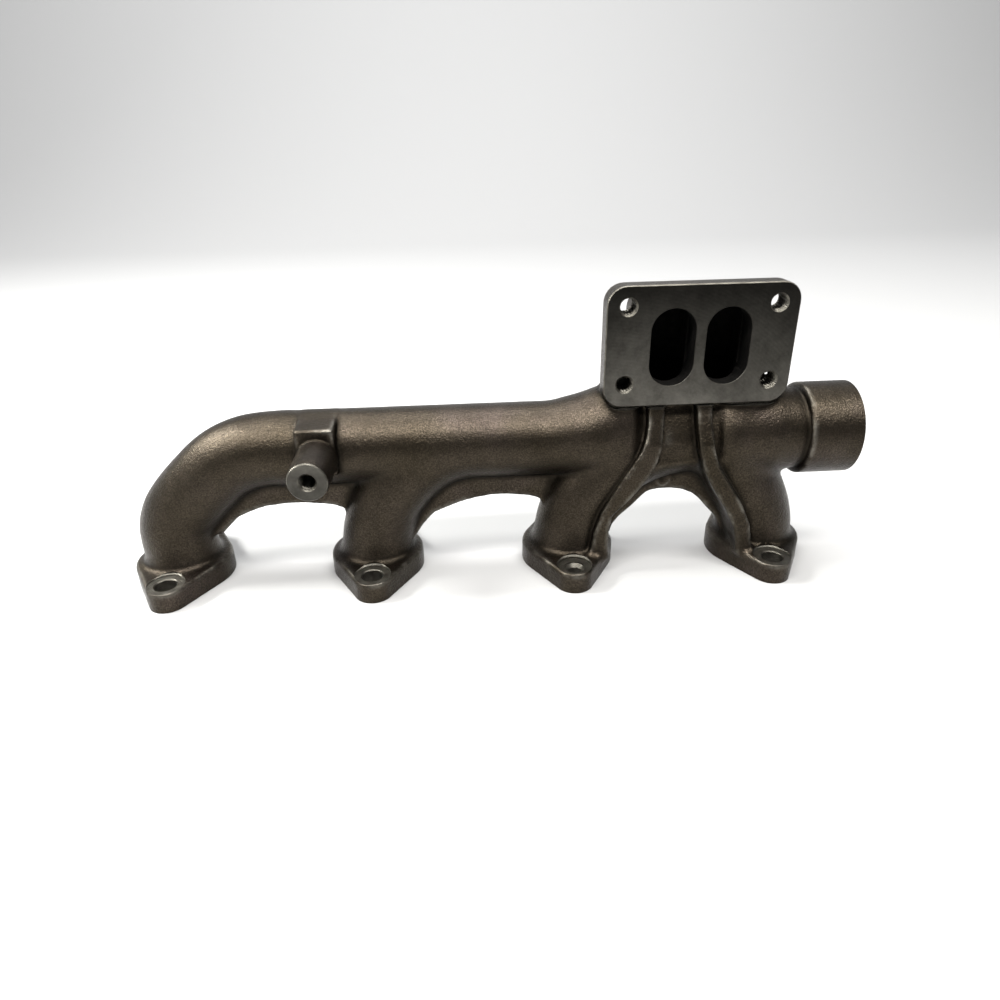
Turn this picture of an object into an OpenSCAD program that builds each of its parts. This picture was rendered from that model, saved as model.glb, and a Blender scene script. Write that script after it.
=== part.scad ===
// Exhaust manifold, front section of a split manifold for an in-line diesel engine.
// One iron casting, carried as its regions: each region is one solid and they meet face to face.
// Origin: centre of port flange 1 on its mating face. +X along the collector, +Z away from the
// cylinder head, the turbocharger face looks along -Y.

/* [Ports] */
// Distance between port centres
port_pitch = 120; // [118:0.5:122]
// Distance between the two bolts of a port flange
port_bolt_pitch = 68.5; // [67:0.5:70]
// Thickness of a port flange
port_flange_t = 13; // [11:0.5:14]
// Radius of the middle of a port flange
port_flange_r = 28.4; // [27:0.2:29]
// Radius of the ends of a port flange
port_tip_r = 11.2; // [11:0.2:12]
// Diameter of the port passage
port_bore_d = 33; // [30:0.5:34]
// Diameter of the bolt clearance holes
bolt_hole_d = 12.5; // [11:0.25:13]
// Diameter of the locating hole at the front of port 3
locating_hole_d = 9; // [8.5:0.25:10.5]
// Diameter of the spot faces around the bolt holes
spot_face_d = 21.5; // [20:0.5:22]
// Depth of the spot faces
spot_face_depth = 0.8; // [0.5:0.1:1.2]

/* [Collector] */
// Height of the collector axis over the mating plane
collector_z = 81.6; // [81:0.2:82.4]
// Outside radius of the collector
collector_r = 21.7; // [21.3:0.1:22]
// Radius of the gas passages
passage_r = 16; // [15:0.5:16.5]
// Outside radius of the branches
branch_r = 21.3; // [21:0.1:21.5]
// Outside radius of the collector between the riser and the joint
right_r = 25.2; // [24.6:0.2:25.6]

/* [Turbo flange] */
// Width of the turbocharger flange
turbo_w = 104.4; // [104:0.2:106]
// Height of the turbocharger flange
turbo_h = 66.4; // [66:0.2:67]
// Thickness of the turbocharger flange
turbo_t = 13; // [12:0.5:13.5]
// X position of the middle of the turbocharger flange
turbo_x = 308; // [307:0.5:309]
// Height of the middle of the turbocharger flange
turbo_z = 138; // [137.6:0.2:138.4]
// Distance between the turbocharger studs, along X
stud_x = 81.2; // [80:0.2:82]
// Distance between the turbocharger studs, along Z
stud_z = 42.4; // [42:0.2:43]
// Tapping diameter of the stud holes
stud_hole_d = 8.5; // [8.4:0.1:9]
// Width of each gas opening
gas_w = 24.6; // [24:0.2:25]
// Height of each gas opening
gas_h = 42.4; // [42:0.2:43]
// Width of the wall between the gas openings
divider_w = 5.8; // [5.4:0.2:6.4]

/* [Slip joint] */
// Outside diameter of the joint sleeve
sleeve_d = 54.6; // [54:0.2:55]
// Diameter of the joint socket
socket_d = 45; // [44:0.2:46]
// Depth of the joint socket
socket_depth = 26; // [24:0.5:27]
// X position of the end of the sleeve
sleeve_end = 406; // [405:0.5:408]

/* [Sensor boss] */
// X position of the sensor boss
boss_x = 95.5; // [94:0.5:97]
// Height of the sensor boss axis
boss_z = 83.6; // [83:0.2:84]
// Diameter of the sensor boss
boss_d = 21; // [20:0.5:22]
// How far the boss face stands in front of the collector axis
boss_reach = 56; // [54:0.5:57]
// Tapping diameter of the sensor hole
boss_hole_d = 8.5; // [8:0.1:9]

/* [Hidden] */
$fn = 96;
IRON = "#5b554a";
IRON2 = "#645d50";
FACE = "#74726a";
px = [for (i = [0:3]) i * port_pitch];
cz = collector_z;
bolt_y = port_bolt_pitch / 2;
turbo_y = -18;                  // plane of the turbocharger face
r1 = 45; r2 = 70; z0 = 20.5;    // end elbow: first and second bend radius, start height
rb = 60;                        // branches: bend radius
s45 = sin(45); c45 = cos(45);
e1x = r1 * (1 - c45); e1z = z0 + r1 * s45;          // end of the first bend
e2z = cz - r2 * (1 - c45); e2x = e1x + e2z - e1z;   // start of the second bend
log_x0 = e2x + r2 * s45;                            // where the collector runs straight
riser_x0 = 258;
riser_x1 = 373;

// ---- helpers ------------------------------------------------------------------------------
// rod along X
module xrod(x0, x1, r, y = 0, z = cz) translate([x0, y, z]) rotate([0, 90, 0]) cylinder(h = x1 - x0, r = r);
// rod along Y
module yrod(y0, y1, r, x, z) translate([x, y1, z]) rotate([90, 0, 0]) cylinder(h = y1 - y0, r = r);
// bend of a tube in the XZ plane: centre of the bend, bend radius, tube radius, angles
module bend(c, rc, r, a0, a1) translate([c[0], 0, c[1]]) rotate([90, 0, 0]) rotate([0, 0, a0])
    rotate_extrude(angle = a1 - a0) translate([rc, 0]) circle(r);
// plate in the XZ plane
module plate(y0, y1, pts) translate([0, y1, 0]) rotate([90, 0, 0]) linear_extrude(y1 - y0) polygon(pts);

// tube of branches 2 and 3: round 45 degrees, then straight into the collector
module branch_bend(x, r, over = 0) bend([x + rb, port_flange_t], rb, r, 135 - over, 180 + over);
module branch_neck(x, r, reach) translate([x + rb * (1 - c45), 0, port_flange_t + rb * s45]) rotate([0, 45, 0]) cylinder(h = reach, r = r);
module branch_core(x, r, reach) { branch_bend(x, r); branch_neck(x, r, reach); }
// tube of branch 4, which leans the other way and enters the right riser
module branch4_bend(r, over = 0) bend([px[3] - rb, port_flange_t], rb, r, -over, 30 + over);
module branch4_neck(r, reach) translate([px[3] - rb * (1 - cos(30)), 0, port_flange_t + rb * sin(30)]) rotate([0, -30, 0]) cylinder(h = reach, r = r);
module branch4_core(r, reach) { branch4_bend(r); branch4_neck(r, reach); }

// ---- port flanges -------------------------------------------------------------------------
module flange_blank() {
    b = asin((port_flange_r - port_tip_r) / bolt_y);
    fr = port_flange_r - 0.06;
    tr = port_tip_r - 0.06;
    union() {
        cylinder(h = port_flange_t, r = port_flange_r);
        for (s = [-1, 1]) translate([0, s * bolt_y, 0]) cylinder(h = port_flange_t, r = port_tip_r);
        linear_extrude(port_flange_t) polygon([
            [tr * cos(b), bolt_y + tr * sin(b)], [fr * cos(b), fr * sin(b)],
            [fr * cos(b), -fr * sin(b)], [tr * cos(b), -bolt_y - tr * sin(b)],
            [-tr * cos(b), -bolt_y - tr * sin(b)], [-fr * cos(b), -fr * sin(b)],
            [-fr * cos(b), fr * sin(b)], [-tr * cos(b), bolt_y + tr * sin(b)]]);
    }
}
module port_flange(i, front_d) translate([px[i], 0, 0]) difference() {
    flange_blank();
    translate([0, 0, -1]) cylinder(h = port_flange_t + 2, d = port_bore_d);
    translate([0, -bolt_y, -1]) cylinder(h = port_flange_t + 2, d = front_d);
    translate([0, bolt_y, -1]) cylinder(h = port_flange_t + 2, d = bolt_hole_d);
    for (s = [-1, 1]) translate([0, s * bolt_y, port_flange_t - spot_face_depth]) cylinder(h = 5, d = spot_face_d);
}
module port_flange_1() color(IRON) difference() {
    union() {
        port_flange(0, bolt_hole_d);
        translate([0, 0, port_flange_t - 2]) cylinder(h = z0 - port_flange_t + 2, r = collector_r);
    }
    translate([0, 0, -1]) cylinder(h = port_flange_t + 1, d = port_bore_d);
    translate([0, 0, port_flange_t - 5]) cylinder(h = z0 - port_flange_t + 10, r = passage_r);
}
module port_flange_2() color(IRON) port_flange(1, bolt_hole_d);
module port_flange_3() color(IRON) port_flange(2, locating_hole_d);
module port_flange_4() color(IRON) port_flange(3, bolt_hole_d);

// ---- end elbow, three tube lengths ----------------------------------------------------------
module end_elbow_lower() color(IRON2) difference() {
    bend([r1, z0], r1, collector_r, 135, 180);
    bend([r1, z0], r1, passage_r, 134, 181);
}
module end_elbow_middle() color(IRON2) translate([e1x, 0, e1z]) rotate([0, 45, 0]) difference() {
    cylinder(h = (e2x - e1x) / s45, r = collector_r);
    translate([0, 0, -1]) cylinder(h = (e2x - e1x) / s45 + 2, r = passage_r);
}
module end_elbow_upper() color(IRON2) difference() {
    bend([log_x0, cz - r2], r2, collector_r, 90, 135);
    bend([log_x0, cz - r2], r2, passage_r, 89, 136);
}

// ---- branches -------------------------------------------------------------------------------
module branch_lower(i) difference() {
    branch_bend(px[i], branch_r);
    branch_bend(px[i], passage_r, 1);
    xrod(log_x0 - 10, turbo_x, collector_r);
}
module branch_upper(i) difference() {
    branch_neck(px[i], branch_r, 34.5);
    translate([-0.7, 0, -0.7]) branch_neck(px[i], passage_r, 50);
    xrod(log_x0 - 10, turbo_x, collector_r);
}
module branch_2_lower() color(IRON) branch_lower(1);
module branch_2_upper() color(IRON2) branch_upper(1);
module branch_3_lower() color(IRON) branch_lower(2);
module branch_3_upper() color(IRON2) branch_upper(2);
module branch_4_lower() color(IRON) difference() {
    branch4_bend(branch_r);
    branch4_bend(passage_r, 1);
}
module branch_4_upper() color(IRON2) difference() {
    branch4_neck(branch_r, 40);
    translate([0.5, 0, -0.86]) branch4_neck(passage_r, 50);
    xrod(300, 400, right_r);
}

// ---- collector ------------------------------------------------------------------------------
module collector() color(IRON2) difference() {
    xrod(log_x0, riser_x0, collector_r);
    xrod(log_x0 - 1, riser_x0 + 1, passage_r);
    branch_core(px[1], passage_r, 36);
    branch_core(px[2], passage_r, 36);
    yrod(-60, 0, boss_hole_d / 2, boss_x, boss_z);
}

// ---- risers -----------------------------------------------------------------------------------
back_y = turbo_y + turbo_t;
// side outline of a riser, seen along X; g is 0 outside and the wall thickness inside
module riser_outline(g) {
    translate([4, 146]) circle(18 - g);
    polygon([[-21.5 + g, 82 + g], [-17 + g, 105], [-14 + g, 146], [4, 146], [22 - g, 146], [21.5 - g, 84]]);
}
module riser_duct(x0, x1, g) translate([x0, 0, 0]) rotate([90, 0, 90]) linear_extrude(x1 - x0) riser_outline(g);
module riser_block(x0, x1) difference() {
    riser_duct(x0, x1, 0);
    translate([x0 - 1, -40, turbo_z - turbo_h / 2]) cube([x1 - x0 + 2, 40 + back_y, 90]);
}
half = gas_w + divider_w / 2;
module riser_left() color(IRON) difference() {
    union() {
        xrod(riser_x0, turbo_x, collector_r);
        riser_block(turbo_x - half - 6, turbo_x);
    }
    xrod(riser_x0 - 1, turbo_x - divider_w / 2, passage_r);
    riser_duct(turbo_x - half, turbo_x - divider_w / 2, 5.5);
    branch_core(px[2], passage_r, 36);
}
module riser_right() color(IRON2) difference() {
    union() {
        xrod(turbo_x, riser_x1, right_r);
        riser_block(turbo_x, turbo_x + half + 6);
    }
    xrod(turbo_x + divider_w / 2, riser_x1 + 1, passage_r + 1);
    riser_duct(turbo_x + divider_w / 2, turbo_x + half, 5.5);
    branch4_core(passage_r, 42);
}

// ---- turbocharger flange ----------------------------------------------------------------------
module gas_opening(x) {
    r = gas_w / 2;
    for (s = [-1, 1]) yrod(turbo_y - 1, back_y + 1, r, x, turbo_z - 0.5 + s * (gas_h / 2 - r));
    translate([x - r, turbo_y - 1, turbo_z - 0.5 - (gas_h / 2 - r)]) cube([gas_w, turbo_t + 2, gas_h - 2 * r]);
}
module turbo_flange() color(FACE) difference() {
    union() {
        r = 11;
        for (sx = [-1, 1], sz = [-1, 1]) yrod(turbo_y, back_y, r, turbo_x + sx * (turbo_w / 2 - r), turbo_z + sz * (turbo_h / 2 - r));
        translate([turbo_x - turbo_w / 2 + r, turbo_y, turbo_z - turbo_h / 2]) cube([turbo_w - 2 * r, turbo_t, turbo_h]);
        translate([turbo_x - turbo_w / 2, turbo_y, turbo_z - turbo_h / 2 + r]) cube([turbo_w, turbo_t, turbo_h - 2 * r]);
    }
    for (s = [-1, 1]) gas_opening(turbo_x + s * (gas_w + divider_w) / 2);
    for (sx = [-1, 1], sz = [-1, 1])
        yrod(turbo_y - 1, back_y + 1, stud_hole_d / 2, turbo_x + sx * stud_x / 2, turbo_z + 1 + sz * stud_z / 2);
    xrod(240, turbo_x, collector_r);
    xrod(turbo_x, 380, right_r);
}

// ---- slip joint ---------------------------------------------------------------------------------
module slip_joint_sleeve() color(IRON) difference() {
    xrod(riser_x1, sleeve_end, sleeve_d / 2);
    xrod(riser_x1 - 1, sleeve_end + 1, passage_r + 1);
    xrod(sleeve_end - socket_depth, sleeve_end + 1, socket_d / 2);
}

// ---- webs and ribs --------------------------------------------------------------------------------
module arch_web_1() color(IRON) difference() {
    plate(-4, 4, [[23.2, 27.4], [27.5, 28], [31.3, 32], [38.6, 38.5], [51.6, 44.2], [70, 46.9], [88, 46.1], [97, 44.4], [103, 41.5],
        [112, 38], [130, 66], [72, 66], [72, 60.4], [71.5, 60.2], [59.1, 58], [47.6, 53.2], [37.6, 45.4], [28.8, 36.6], [25.1, 31.8]]);
    xrod(log_x0, 180, collector_r);
    branch_core(px[1], branch_r, 34.5);
}
module arch_web_2() color(IRON) difference() {
    plate(-4, 4, [[138, 24], [145.9, 21.9], [149.5, 28.1], [157.5, 36.4], [170, 41.6], [183, 45.2], [200, 47], [211, 46], [221, 43],
        [230, 38], [250, 68], [170, 70], [135, 44]]);
    branch_core(px[1], branch_r, 34.5);
    xrod(log_x0, 300, collector_r);
    branch_core(px[2], branch_r, 34.5);
}
module centre_web() color(IRON) difference() {
    plate(-4, 4, [[256, 20], [266.5, 19], [269.5, 28.1], [277.5, 36.4], [287.4, 44], [296, 46.2], [308, 46], [317, 42.3], [325, 33],
        [332.5, 26.5], [337.4, 21.5], [336.6, 24.5], [333.6, 32.4], [324.9, 47.5], [320, 56], [317, 61.2], [317, 70], [300, 72], [255, 44]]);
    branch_core(px[2], branch_r, 34.5);
    xrod(200, turbo_x + 0.5, collector_r);
    xrod(turbo_x, 400, right_r);
}
// left and right rib, seen along -Y, and the slope of their front seen along X
rib_top = turbo_z - turbo_h / 2;
module rib_front() translate([240, 0, 0]) rotate([90, 0, 90]) linear_extrude(130)
    polygon([[-26.5, 5], [-26.5, 84], [-19, 110], [-5, 110], [-5, 5]]);
rib_l = [[282.4, rib_top], [281.4, 88], [278.6, 80], [274.1, 72], [268, 62], [261.6, 50.7], [256.6, 40.7], [253, 28.7], [251.6, port_flange_t]];
rib_r = [[262, port_flange_t], [261.8, 30], [263.6, 39.3], [272, 48.6], [279.3, 57.5], [284.3, 65.6], [287.3, 71], [289.2, 78], [290.4, 88], [291.2, rib_top]];
rib_rl = [[308.4, rib_top], [309, 84], [313, 68], [321, 54], [329, 43.6]];
rib_rr = [[340, 44.2], [329.5, 58.5], [321.5, 72], [318.4, 85], [317.6, rib_top]];
module rib_left() color(IRON2) difference() {
    intersection() {
        plate(-30, -8, concat(rib_l, rib_r));
        rib_front();
    }
    riser_duct(turbo_x - half - 6, turbo_x, 0);
    xrod(240, 330, collector_r);
    branch_core(px[2], branch_r, 34.5);
    translate([px[2], -bolt_y, 0]) cylinder(h = 20, d = spot_face_d + 0.6);
}
module rib_right_upper() color(IRON2) difference() {
    intersection() {
        plate(-30, -8, concat(rib_rl, [[333.5, 33.8 - 0.46], [344.5, 38.69]], rib_rr));
        rib_front();
    }
    riser_duct(turbo_x - 2, turbo_x + half + 6, 0);
    xrod(240, turbo_x, collector_r);
    xrod(turbo_x, 380, right_r);
    branch4_neck(branch_r, 40);
}
module rib_right_lower() color(IRON) difference() {
    plate(-26.5, -8, [[333.5, 33.8 - 0.46], [336.8, 29], [341, port_flange_t], [349, port_flange_t], [346, 32], [344.5, 38.69]]);
    branch4_bend(branch_r);
    translate([px[3], -bolt_y, 0]) cylinder(h = 20, d = spot_face_d + 0.6);
}

// ---- sensor boss ------------------------------------------------------------------------------------
module sensor_pad() color(IRON) difference() {
    translate([boss_x - 11, -25, 76]) cube([22, 30, 25]);
    xrod(log_x0, 180, collector_r);
    yrod(-60, 5, boss_d / 2, boss_x, boss_z);
}
module sensor_boss() color(FACE) difference() {
    yrod(-boss_reach, -2, boss_d / 2, boss_x, boss_z);
    yrod(-boss_reach - 1, 5, boss_hole_d / 2, boss_x, boss_z);
    xrod(log_x0, 180, collector_r);
}

port_flange_1();
port_flange_2();
port_flange_3();
port_flange_4();
end_elbow_lower();
end_elbow_middle();
end_elbow_upper();
branch_2_lower();
branch_2_upper();
branch_3_lower();
branch_3_upper();
branch_4_lower();
branch_4_upper();
collector();
riser_left();
riser_right();
turbo_flange();
slip_joint_sleeve();
arch_web_1();
arch_web_2();
centre_web();
rib_left();
rib_right_lower();
rib_right_upper();
sensor_pad();
sensor_boss();
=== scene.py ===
import bpy, math
import numpy as np
from mathutils import Matrix, Vector


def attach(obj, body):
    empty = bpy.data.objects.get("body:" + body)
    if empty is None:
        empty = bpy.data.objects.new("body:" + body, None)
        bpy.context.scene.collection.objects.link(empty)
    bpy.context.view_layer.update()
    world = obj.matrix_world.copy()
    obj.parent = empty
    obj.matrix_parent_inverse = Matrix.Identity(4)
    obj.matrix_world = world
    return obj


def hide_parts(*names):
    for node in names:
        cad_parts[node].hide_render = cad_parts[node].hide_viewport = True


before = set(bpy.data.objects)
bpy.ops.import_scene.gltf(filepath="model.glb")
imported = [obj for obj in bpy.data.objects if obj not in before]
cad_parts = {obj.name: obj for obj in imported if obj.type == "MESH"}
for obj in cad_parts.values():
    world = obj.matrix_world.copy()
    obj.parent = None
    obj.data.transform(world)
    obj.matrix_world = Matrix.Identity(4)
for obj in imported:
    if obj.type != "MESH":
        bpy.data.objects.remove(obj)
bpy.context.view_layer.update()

MM = 0.001

# ---------------------------------------------------------------- distance field of the casting
# All lengths in this block are millimetres in the row frame.
H = 1.4
XS = np.arange(-33.0, 420.0, H, dtype=np.float32)
YS = np.arange(-66.0, 51.0, H, dtype=np.float32)
ZS = np.arange(-8.0, 176.0, H, dtype=np.float32)
D = np.full((len(XS), len(YS), len(ZS)), 60.0, np.float32)


def smin(a, b, k):
    if k <= 0:
        return np.minimum(a, b)
    h = np.maximum(k - np.abs(a - b), 0) / k
    return np.minimum(a, b) - h * h * k * 0.25


def window(lo, hi, pad):
    s = []
    for g, a, b in zip((XS, YS, ZS), lo, hi):
        i = max(0, int(np.searchsorted(g, a - pad)) - 1)
        j = min(len(g), int(np.searchsorted(g, b + pad)) + 1)
        s.append(slice(i, j))
    s = tuple(s)
    return s, XS[s[0]][:, None, None], YS[s[1]][None, :, None], ZS[s[2]][None, None, :]


def add(shape, k=0.0):
    f, lo, hi = shape
    s, X, Y, Z = window(lo, hi, max(k, 0) + 5)
    D[s] = smin(D[s], f(X, Y, Z), k)


def cut(shape, k=0.0):
    f, lo, hi = shape
    s, X, Y, Z = window(lo, hi, max(k, 0) + 3)
    D[s] = -smin(-D[s], f(X, Y, Z), k)


def tube(pts, rad):
    """Round tube along a polyline, with a radius at each point."""
    p = np.array(pts, np.float32)
    r = np.full(len(p), rad, np.float32) if np.isscalar(rad) else np.array(rad, np.float32)

    def f(X, Y, Z):
        d = None
        for i in range(len(p) - 1):
            a, ba = p[i], p[i + 1] - p[i]
            l2 = float(ba @ ba)
            t = np.clip(((X - a[0]) * ba[0] + (Y - a[1]) * ba[1] + (Z - a[2]) * ba[2]) / l2, 0, 1)
            q = np.sqrt((X - a[0] - ba[0] * t) ** 2 + (Y - a[1] - ba[1] * t) ** 2 + (Z - a[2] - ba[2] * t) ** 2)
            q = q - (r[i] + (r[i + 1] - r[i]) * t)
            d = q if d is None else np.minimum(d, q)
        return d

    m = float(r.max())
    return f, p.min(0) - m, p.max(0) + m


def spline(pts, step=4.0):
    """Catmull-Rom through the points (any number of columns), evenly fine."""
    p = np.array(pts, float)
    p = np.vstack([2 * p[0] - p[1], p, 2 * p[-1] - p[-2]])
    out = []
    for i in range(1, len(p) - 2):
        n = max(1, int(np.ceil(np.linalg.norm(p[i + 1][:3] - p[i][:3]) / step)))
        for t in np.arange(n) / n:
            a, b, c, d = p[i - 1], p[i], p[i + 1], p[i + 2]
            out.append(0.5 * (2 * b + (c - a) * t + (2 * a - 5 * b + 4 * c - d) * t * t + (3 * b - a - 3 * c + d) * t ** 3))
    out.append(p[-2])
    return np.array(out)


def poly2(pts, U, V):
    """Exact signed distance to a polygon in a plane."""
    p = np.array(pts, np.float32)
    d = None
    s = np.ones(np.broadcast(U, V).shape, np.float32)
    n = len(p)
    for i in range(n):
        a, b = p[i], p[i - 1]
        e = b - a
        wu, wv = U - a[0], V - a[1]
        t = np.clip((wu * e[0] + wv * e[1]) / float(e @ e), 0, 1)
        q = (wu - e[0] * t) ** 2 + (wv - e[1] * t) ** 2
        d = q if d is None else np.minimum(d, q)
        c1, c2 = V >= a[1], V < b[1]
        c3 = e[0] * wv > e[1] * wu
        flip = (c1 & c2 & c3) | (~c1 & ~c2 & ~c3)
        s = np.where(flip, -s, s)
    return s * np.sqrt(d)


def slab(d2, w, r):
    """Extrusion of a 2D distance by a second distance w, edges rounded by r."""
    a, b = d2 + r, w + r
    return np.minimum(np.maximum(a, b), 0) + np.sqrt(np.maximum(a, 0) ** 2 + np.maximum(b, 0) ** 2) - r


def xz_plate(pts, y0, y1, r=0.0):
    q = np.array(pts, float)

    def f(X, Y, Z):
        d2 = poly2(pts, X, Z)
        return slab(d2, np.abs(Y - (y0 + y1) / 2) - (y1 - y0) / 2, r)

    return f, (q[:, 0].min(), y0, q[:, 1].min()), (q[:, 0].max(), y1, q[:, 1].max())


def yz_plate(pts, x0, x1, r=0.0):
    q = np.array(pts, float)

    def f(X, Y, Z):
        d2 = poly2(pts, Y, Z)
        return slab(d2, np.abs(X - (x0 + x1) / 2) - (x1 - x0) / 2, r)

    return f, (x0, q[:, 0].min(), q[:, 1].min()), (x1, q[:, 0].max(), q[:, 1].max())


def round_box(lo, hi, r):
    c = (np.array(lo, float) + hi) / 2
    h = (np.array(hi, float) - lo) / 2 - r

    def f(X, Y, Z):
        a, b, e = np.abs(X - c[0]) - h[0], np.abs(Y - c[1]) - h[1], np.abs(Z - c[2]) - h[2]
        return np.sqrt(np.maximum(a, 0) ** 2 + np.maximum(b, 0) ** 2 + np.maximum(e, 0) ** 2) + np.minimum(np.maximum(a, np.maximum(b, e)), 0) - r

    return f, lo, hi


FT, FR, TR, BY = 13.0, 28.40, 11.20, 34.25


def flange(x):
    """Port flange: lens outline with a boss at each bolt, top edge rounded, running below the mating plane."""
    b = (FR - TR) / BY
    a = math.sqrt(1 - b * b)

    def f(X, Y, Z):
        px, py = np.abs(X - x), np.abs(Y)
        k = -b * px + a * py
        d = px * a + py * b - FR
        d = np.where(k < 0, np.sqrt(px ** 2 + py ** 2) - FR, d)
        d = np.where(k > a * BY, np.sqrt(px ** 2 + (py - BY) ** 2) - TR, d)
        return slab(d, np.abs(Z - (FT - 5) / 2) - (FT + 5) / 2, 2.2)

    return f, (x - FR, -BY - TR, -5), (x + FR, BY + TR, FT)


PX = (0.0, 120.0, 240.0, 360.0)
TX, TZ, TW, TH, TY = 308.0, 138.0, 104.4, 66.4, -18.0
CZ = 81.6

# collector and end elbow
elbow = [(0, 0, 2), (0, 0, 16), (0.1, 0, 28), (1.2, 0, 35.5), (5.0, 0, 43.5), (10.8, 0, 50.6), (17.2, 0, 57.2), (23.8, 0, 63.3),
         (30.2, 0, 69.0), (36.6, 0, 73.6), (44.5, 0, 77.6), (53, 0, 80.2), (63, 0, 81.5), (75, 0, CZ)]
add(tube(spline(elbow), 21.65))
add(tube([(72, 0, CZ), (300, 0, CZ)], 21.7), 1.0)
# collector between the risers and the joint, a little larger, then the neck and the sleeve
add(tube([(300, 0, CZ), (318, 0, CZ), (335, -0.4, CZ), (356, -0.4, CZ), (366, 0, CZ), (374, 0, CZ), (382, 0, CZ)],
         [21.7, 23.0, 25.0, 25.7, 25.0, 23.0, 22.6]), 6)


def sleeve(X, Y, Z):
    q = np.sqrt(Y ** 2 + (Z - CZ) ** 2) - 27.3
    return slab(q, np.abs(X - 395.0) - 19.0, 1.3)


add((sleeve, (376, -28, 54), (414, 28, 110)), 2.6)

# branches
b2 = [(0, 2), (0.2, 12), (1.2, 20), (2.8, 28), (5.2, 36), (9, 46), (15.5, 56), (25, 66), (37, 74.5), (51, 80)]
add(tube(spline([(120 + x, 0, z, r) for (x, z), r in zip(b2, (21.9, 21.9, 21.8, 21.8, 21.8, 21.9, 22.0, 21.9, 21.5, 20.8))])[:, :3],
         spline([(120 + x, 0, z, r) for (x, z), r in zip(b2, (21.9, 21.9, 21.8, 21.8, 21.8, 21.9, 22.0, 21.9, 21.5, 20.8))])[:, 3]), 3)
b3 = [(0, 2), (0.2, 12), (1.2, 20), (2.8, 28), (5.2, 36), (9.5, 46), (17, 56), (28, 65), (41, 72.5), (56, 78), (70, 81)]
rr = (21.9, 21.9, 21.8, 21.8, 21.8, 21.9, 22.1, 22.2, 22.2, 21.9, 21.3)
s3 = spline([(240 + x, 0, z, r) for (x, z), r in zip(b3, rr)])
add(tube(s3[:, :3], s3[:, 3]), 3.5)
b4 = [(0.4, 2), (0.4, 12), (0.2, 19), (-1.4, 27), (-4.2, 35), (-8, 43), (-13.5, 52), (-20, 62), (-27, 72), (-33, 82)]
s4 = spline([(360 + x, 0, z, r) for (x, z), r in zip(b4, (22.4, 22.4, 22.4, 22.3, 22.2, 22.1, 22, 22, 22, 22))])
add(tube(s4[:, :3], s4[:, 3]), 5.5)

# risers behind the turbocharger flange, and the front panel under it
add(round_box((272.5, -12.0, 84), (343.5, 21.5, 166), 12), 12)
add(tube([(252, -1, 86), (266, -1, 97), (275, 0, 114)], [20.5, 17.5, 13]), 12)
add(tube([(352, 0, 88), (345, 0, 99), (338, 0, 114)], [20.0, 16.5, 13]), 9)
cut(yz_plate([(-60, 70), (-22.6, 76), (-21.2, 84), (-13.6, 106), (-13.6, 112), (-60, 112)], 279, 323, 1.0), 9)
cut(yz_plate([(-60, 66), (-22.0, 72), (-20.8, 84), (-12.4, 106), (-12.4, 112), (-60, 112)], 285, 313, 0.5), 4)


def plate(X, Y, Z):
    a, b = np.abs(X - TX) - TW / 2 + 10.6, np.abs(Z - TZ) - TH / 2 + 10.6
    d = np.sqrt(np.maximum(a, 0) ** 2 + np.maximum(b, 0) ** 2) + np.minimum(np.maximum(a, b), 0) - 10.6
    return slab(d, np.abs(Y - (TY - 3 - 5) / 2) - (-5 - (TY - 3)) / 2, 1.3)


add((plate, (TX - TW / 2, TY - 3, TZ - TH / 2), (TX + TW / 2, -5, TZ + TH / 2)), 3.5)

# webs in the arches
add(xz_plate([(18, 26), (24, 27.6), (27.5, 28.4), (31.3, 32), (38.6, 39), (45.1, 41.9), (51.6, 44.3), (57.8, 45.9), (70, 47), (79, 46.9),
              (88, 46.1), (96.9, 44.7), (102.7, 42.3), (105, 39), (116, 34), (130, 74), (60, 74), (20, 50)], -5, 5, 1.6), 3)
add(xz_plate([(134, 18), (143.5, 20.5), (145.9, 22.4), (149.5, 28.1), (154.2, 33.5), (157.5, 36.7), (163.8, 39.3), (170.1, 41.8), (176.4, 43.9),
              (182.6, 45.4), (191.9, 46.9), (201.1, 47), (210.4, 46.1), (216.6, 45.1), (221.5, 43.3), (224, 40.5), (236, 34), (250, 74), (150, 74),
              (130, 40)], -5, 5, 1.6), 3)
add(xz_plate([(252, 15), (264, 15.5), (266.7, 17.8), (268.1, 22.8), (271.7, 27.9), (279.6, 35.4), (285.5, 41.8), (288.6, 44.7), (294.6, 46.3),
              (302.8, 46.4), (310.4, 45.1), (317, 42.2), (321.9, 37.9), (327.7, 31.3), (333.5, 25.0), (336.5, 18), (348, 14), (350, 74),
              (250, 74)], -5, 5, 1.6), 3)

# ribs on the front
rib_a = [(282.2, 113), (281.9, 95), (280.9, 87.8), (278.4, 79.9), (274.1, 72), (267.9, 61.9), (261.6, 50.7), (256.5, 40.7), (252.8, 28.7), (251.2, 15.4),
         (251.0, 10), (262, 10), (261.8, 30), (263.6, 39.3), (272.1, 48.6), (279.3, 57.5), (284.3, 65.6), (287.3, 71), (289.1, 77.9), (290.4, 87.5),
         (291.1, 95), (291.3, 113)]
rib_b = [(309.5, 113), (309.8, 92), (311, 80), (315, 67), (322, 54.5), (330.5, 41.5), (337, 29), (341, 12), (350, 12), (347, 30),
         (340, 45), (331, 58.5), (323.6, 70), (319.6, 82), (318.4, 93), (318.2, 113)]


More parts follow.
